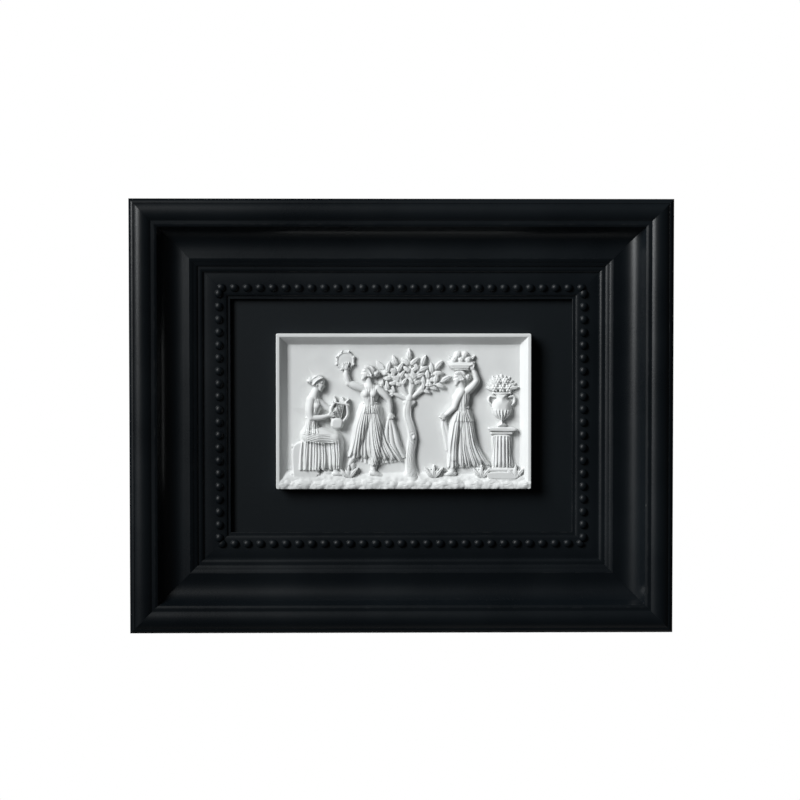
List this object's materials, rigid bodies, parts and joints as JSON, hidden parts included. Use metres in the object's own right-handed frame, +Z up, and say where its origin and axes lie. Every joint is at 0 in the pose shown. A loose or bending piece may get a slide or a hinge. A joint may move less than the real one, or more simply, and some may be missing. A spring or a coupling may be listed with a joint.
{
  "type": "framed relief sculpture",
  "caption": "Low relief of figures, a tree and an urn, cast in white resin, on a dark panel in a broad black beaded frame, made to hang on a wall.",
  "frame": {"origin": "middle of the hanger plate's outer face, on the wall plane at the back of the frame", "axes": "+Y into the wall, so the relief faces -Y; +Z up as it hangs; +X to the right seen from the front"},
  "size_m": [0.4618, 0.036, 0.3688],
  "materials": {
    "frame": "satin black paint",
    "panel": "matt charcoal paint",
    "relief": "matt white cast resin",
    "hanger": "zinc-plated"
  },
  "bodies": {
    "root": {"frame_rail_top": "frame", "frame_rail_right": "frame", "frame_rail_bottom": "frame", "frame_rail_left": "frame", "backing_panel": "panel", "relief_plaque": "relief", "hanger_plate": "hanger", "hanger_screw_left": "hanger", "hanger_screw_right": "hanger"}
  },
  "joints": []
}
